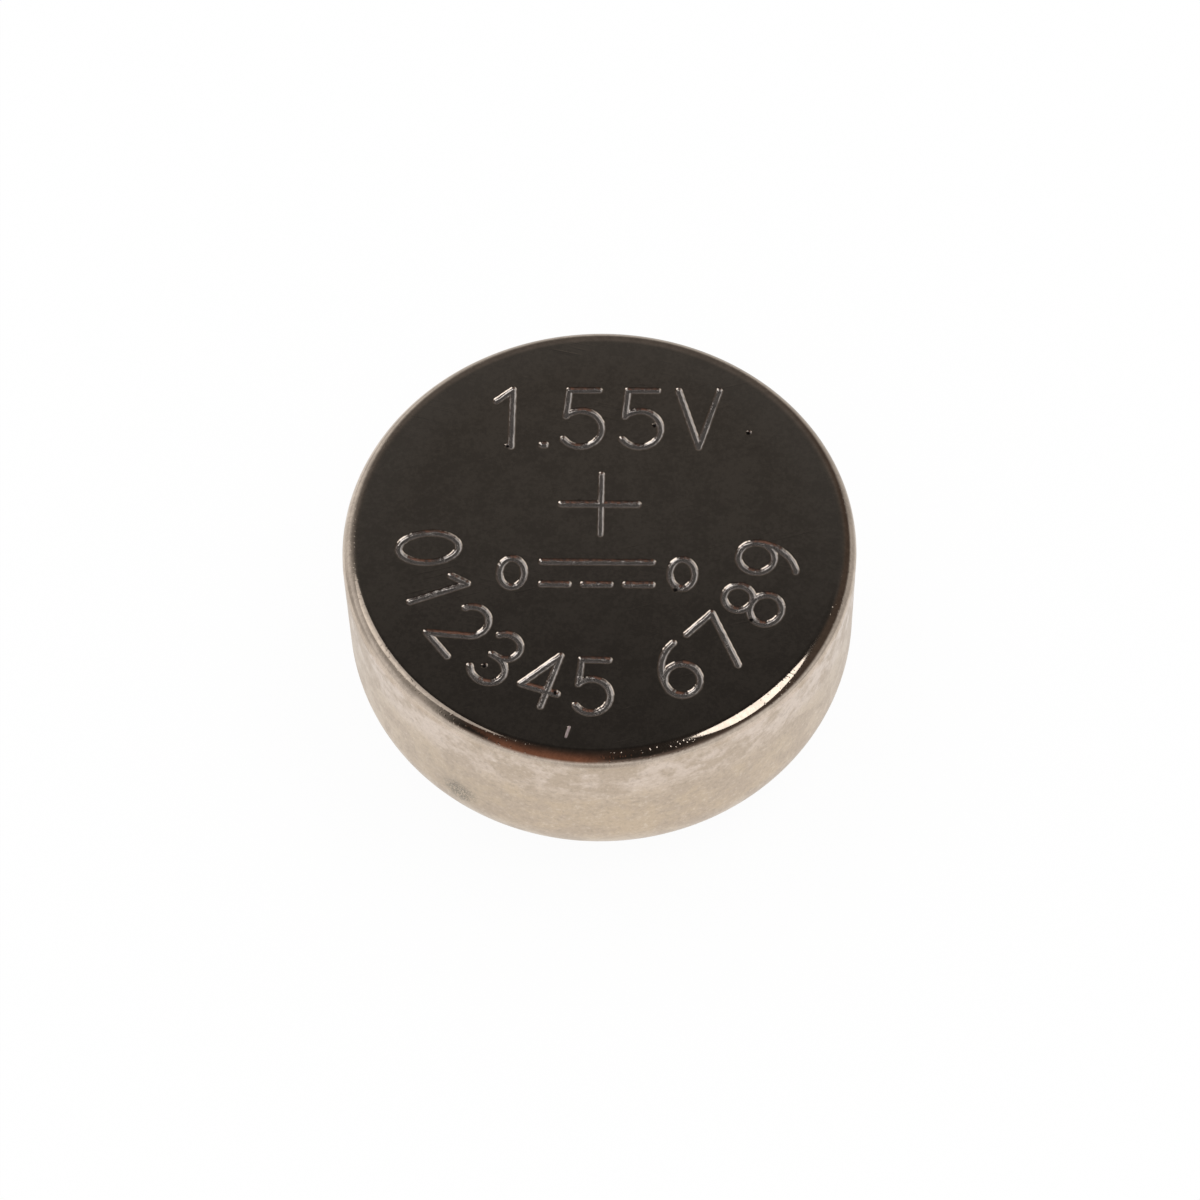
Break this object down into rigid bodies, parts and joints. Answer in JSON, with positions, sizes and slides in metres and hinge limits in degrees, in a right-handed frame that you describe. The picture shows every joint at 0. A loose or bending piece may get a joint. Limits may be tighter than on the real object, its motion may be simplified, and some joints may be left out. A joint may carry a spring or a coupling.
{
  "type": "silver oxide button cell",
  "caption": "Round crimped battery: a drawn steel can with a flat positive face, its lip rolled over a gasket onto a stepped negative cap.",
  "frame": {"origin": "centre of the negative contact, which is the lowest face", "axes": "+Z along the cell's axis, from the negative contact to the positive face; +X and +Y lie in the faces"},
  "size_m": [0.0078, 0.0078, 0.0036],
  "materials": {
    "can_nickel": "satin nickel plating on drawn steel",
    "silver_oxide": "pressed black powder",
    "ring_nickel": "plain nickel plating",
    "cellophane": "damp translucent film",
    "absorbent_fibre": "damp non-woven fibre",
    "gasket_nylon": "smooth moulded nylon",
    "zinc_gel": "grey metal powder set in gel",
    "cap_nickel": "bright nickel face of clad steel"
  },
  "bodies": {
    "root": {"positive_can": "can_nickel", "cathode_pellet": "silver_oxide", "support_ring": "ring_nickel", "barrier_film": "cellophane", "absorbent_disc": "absorbent_fibre", "sealing_gasket": "gasket_nylon", "zinc_anode": "zinc_gel", "negative_cap": "cap_nickel"}
  },
  "joints": []
}
